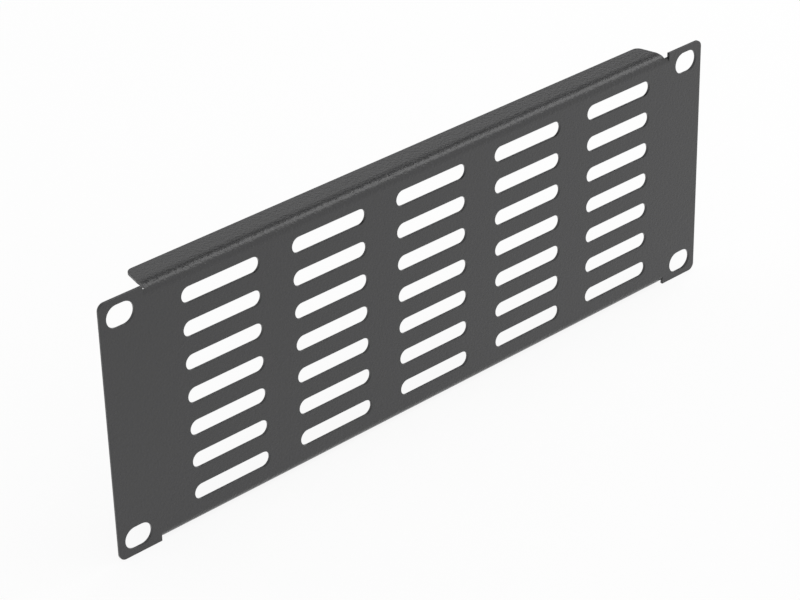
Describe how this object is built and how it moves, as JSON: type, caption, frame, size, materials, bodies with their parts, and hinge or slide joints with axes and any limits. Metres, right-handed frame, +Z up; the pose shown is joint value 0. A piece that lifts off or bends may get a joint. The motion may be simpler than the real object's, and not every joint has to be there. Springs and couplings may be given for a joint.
{
  "type": "vented rack blanking panel",
  "caption": "Folded sheet-steel blanking panel for a ten-inch rack, with rows of vent slots, back flanges and slotted ears.",
  "frame": {"origin": "on the back of the ears, where they seat on the rack rails, midway between the four screw slots", "axes": "+X along the panel to the right as seen from the front, +Y back into the rack, +Z up"},
  "size_m": [0.254, 0.012, 0.0882],
  "materials": {
    "black_coat": "satin fine-texture powder coat"
  },
  "bodies": {
    "root": {"vented_panel": "black_coat"}
  },
  "joints": []
}
